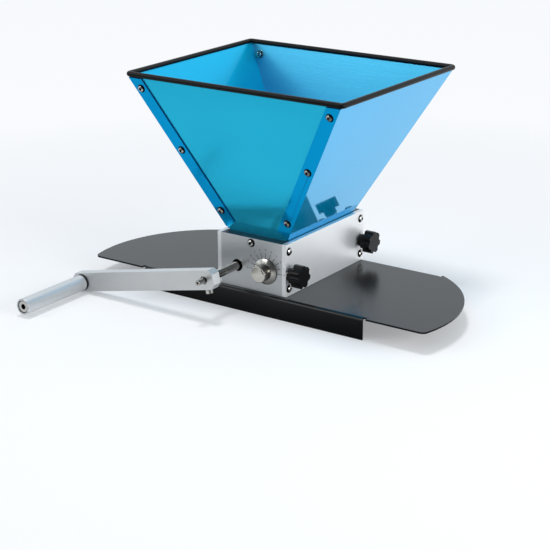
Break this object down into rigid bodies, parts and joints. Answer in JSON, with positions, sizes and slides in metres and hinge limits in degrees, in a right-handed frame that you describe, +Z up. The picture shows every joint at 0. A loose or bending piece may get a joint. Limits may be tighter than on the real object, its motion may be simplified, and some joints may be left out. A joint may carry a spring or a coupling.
{
  "type": "malt mill",
  "caption": "Hand-cranked malt mill: blue sheet hopper over knurled rollers in a plate body with gap dials and lock knobs, on a flat base with folded lips.",
  "frame": {"origin": "on the table, under the middle of the mill's body, in the plane of the base lips' lower edges", "axes": "+X to the right along the base, from the crank's side towards the lock knobs; +Y back along the rollers, away from the crank; +Z up"},
  "size_m": [0.457, 0.3578, 0.2611],
  "materials": {
    "black_coat": "black powder coat, semi-gloss",
    "milled_aluminium": "milled and brushed along its length",
    "blue_anodised": "bright blue anodised sheet",
    "rim_rubber": "black edge trim, satin",
    "fastener_steel": "stainless, bright",
    "shaft_steel": "ground and polished",
    "roller_steel": "knurled",
    "bearing_bronze": "oiled sintered bronze",
    "spacer_nylon": "black nylon",
    "dial_steel": "turned and polished",
    "knob_plastic": "black moulded, fine texture",
    "crank_aluminium": "satin brushed",
    "washer_plastic": "black, smooth"
  },
  "bodies": {
    "mill_body": {"base_plate": "black_coat", "front_plate": "milled_aluminium", "rear_plate": "milled_aluminium", "left_side_plate": "milled_aluminium", "right_side_plate": "milled_aluminium", "hopper_front_panel": "blue_anodised", "hopper_rear_panel": "blue_anodised", "hopper_left_panel": "blue_anodised", "hopper_right_panel": "blue_anodised", "hopper_rim_trim": "rim_rubber", "base_screws": "fastener_steel", "side_plate_screws": "fastener_steel", "hopper_screws": "fastener_steel", "hopper_washers": "fastener_steel", "hopper_nuts": "fastener_steel", "hopper_mount_screws": "fastener_steel", "hopper_mount_nuts": "fastener_steel", "front_bearing": "bearing_bronze", "rear_bearing": "bearing_bronze"},
    "crank": {"drive_shaft": "shaft_steel", "drive_roller": "roller_steel", "drive_spacers": "spacer_nylon", "crank_arm": "crank_aluminium", "crank_clamp_screw": "fastener_steel", "grip_bolt": "fastener_steel", "grip_washer": "washer_plastic"},
    "grip": {"grip_tube": "crank_aluminium"},
    "front_dial": {"front_adjuster": "dial_steel"},
    "rear_dial": {"rear_adjuster": "dial_steel"},
    "idler": {"idler_shaft": "shaft_steel", "idler_roller": "roller_steel", "idler_spacers": "spacer_nylon"},
    "front_lock_washer": {"front_lock_washer": "fastener_steel"},
    "front_lock": {"front_lock_knob": "knob_plastic", "front_lock_stud": "fastener_steel"},
    "rear_lock_washer": {"rear_lock_washer": "fastener_steel"},
    "rear_lock": {"rear_lock_knob": "knob_plastic", "rear_lock_stud": "fastener_steel"}
  },
  "joints": [
    {"name": "crank_turn", "type": "hinge", "parent": "mill_body", "child": "crank", "pos_m": [-0.0192, 0, 0.0505], "axis": [0, 1, 0], "continuous": true},
    {"name": "grip_turn", "type": "hinge", "parent": "crank", "child": "grip", "pos_m": [-0.1957, 0, 0.01273], "axis": [0, 1, 0], "continuous": true},
    {"name": "front_dial_turn", "type": "hinge", "parent": "mill_body", "child": "front_dial", "pos_m": [0.0192, 0, 0.0505], "axis": [0, -1, 0], "range_deg": [-36, 144]},
    {"name": "rear_dial_turn", "type": "hinge", "parent": "mill_body", "child": "rear_dial", "pos_m": [0.0192, 0, 0.0505], "axis": [0, -1, 0], "range_deg": [-36, 144]},
    {"name": "idler_turn", "type": "hinge", "parent": "front_dial", "child": "idler", "pos_m": [0.01839, 0, 0.04991], "axis": [0, 1, 0], "continuous": true},
    {"name": "front_lock_travel", "type": "slide", "parent": "mill_body", "child": "front_lock_washer", "axis": [1, 0, 0], "range_m": [0, 0.0015]},
    {"name": "front_lock_turn", "type": "hinge", "parent": "front_lock_washer", "child": "front_lock", "pos_m": [0, -0.0735, 0.0505], "axis": [1, 0, 0], "range_deg": [0, 540]},
    {"name": "rear_lock_travel", "type": "slide", "parent": "mill_body", "child": "rear_lock_washer", "axis": [1, 0, 0], "range_m": [0, 0.0015]},
    {"name": "rear_lock_turn", "type": "hinge", "parent": "rear_lock_washer", "child": "rear_lock", "pos_m": [0, 0.0735, 0.0505], "axis": [1, 0, 0], "range_deg": [0, 540]}
  ],
  "couplings": [
    {"joint": "rear_dial_turn", "follows": "front_dial_turn", "ratio": 1},
    {"joint": "front_lock_turn", "follows": "front_lock_travel", "rad_per_m": 6283.2},
    {"joint": "rear_lock_turn", "follows": "rear_lock_travel", "rad_per_m": 6283.2}
  ]
}
